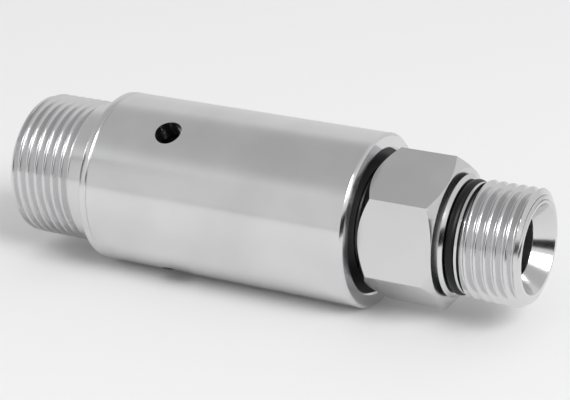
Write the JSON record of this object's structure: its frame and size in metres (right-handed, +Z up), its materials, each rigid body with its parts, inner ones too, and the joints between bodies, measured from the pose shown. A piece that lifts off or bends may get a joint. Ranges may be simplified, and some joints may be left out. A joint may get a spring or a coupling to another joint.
{
  "type": "hydraulic rotary union",
  "caption": "Straight in-line rotary union: a round housing with a male inlet thread, and a hex shaft with an O-ring and a male outlet thread that turns freely in it.",
  "frame": {"origin": "on the axis of rotation, at the inlet end face, where the inlet thread begins", "axes": "+X along the axis of rotation from the inlet to the outlet, +Z up"},
  "size_m": [0.1, 0.0315, 0.0314],
  "materials": {
    "polished_stainless": "fine turned and polished stainless steel",
    "ring_steel": "ground bearing steel",
    "turned_steel": "turned steel",
    "spring_steel": "dark spring steel",
    "black_rubber": "smooth black rubber",
    "seal_polymer": "satin seal polymer",
    "cage_polymer": "moulded polymer",
    "bush_bronze": "sintered bronze"
  },
  "bodies": {
    "housing": {"inlet_stub": "polished_stainless", "housing_sleeve": "polished_stainless", "stub_o_ring": "black_rubber", "tail_bush": "bush_bronze", "pressure_seal": "seal_polymer", "seal_energiser_ring": "black_rubber", "backup_ring": "seal_polymer", "seal_retainer": "turned_steel", "rear_bearing_outer_ring": "ring_steel", "rear_bearing_seals": "black_rubber", "bearing_outer_spacer": "turned_steel", "front_bearing_outer_ring": "ring_steel", "front_bearing_seals": "black_rubber", "bearing_retaining_ring": "spring_steel", "dust_seal": "black_rubber", "dust_seal_spring": "spring_steel"},
    "shaft": {"outlet_shaft": "polished_stainless", "outlet_o_ring": "black_rubber", "rear_bearing_inner_ring": "ring_steel", "front_bearing_inner_ring": "ring_steel", "bearing_inner_spacer": "turned_steel", "shaft_retaining_ring": "spring_steel"},
    "rear_cage": {"rear_bearing_cage": "cage_polymer", "rear_bearing_balls": "ring_steel"},
    "front_cage": {"front_bearing_cage": "cage_polymer", "front_bearing_balls": "ring_steel"}
  },
  "joints": [
    {"name": "shaft_spin", "type": "hinge", "parent": "housing", "child": "shaft", "pos_m": [0.04782, 0, 0], "axis": [1, 0, 0], "continuous": true},
    {"name": "rear_cage_spin", "type": "hinge", "parent": "housing", "child": "rear_cage", "pos_m": [0.03845, 0, 0], "axis": [1, 0, 0], "continuous": true},
    {"name": "front_cage_spin", "type": "hinge", "parent": "housing", "child": "front_cage", "pos_m": [0.0622, 0, 0], "axis": [1, 0, 0], "continuous": true}
  ],
  "couplings": [
    {"joint": "rear_cage_spin", "follows": "shaft_spin", "ratio": 0.44463},
    {"joint": "front_cage_spin", "follows": "shaft_spin", "ratio": 0.44463}
  ]
}
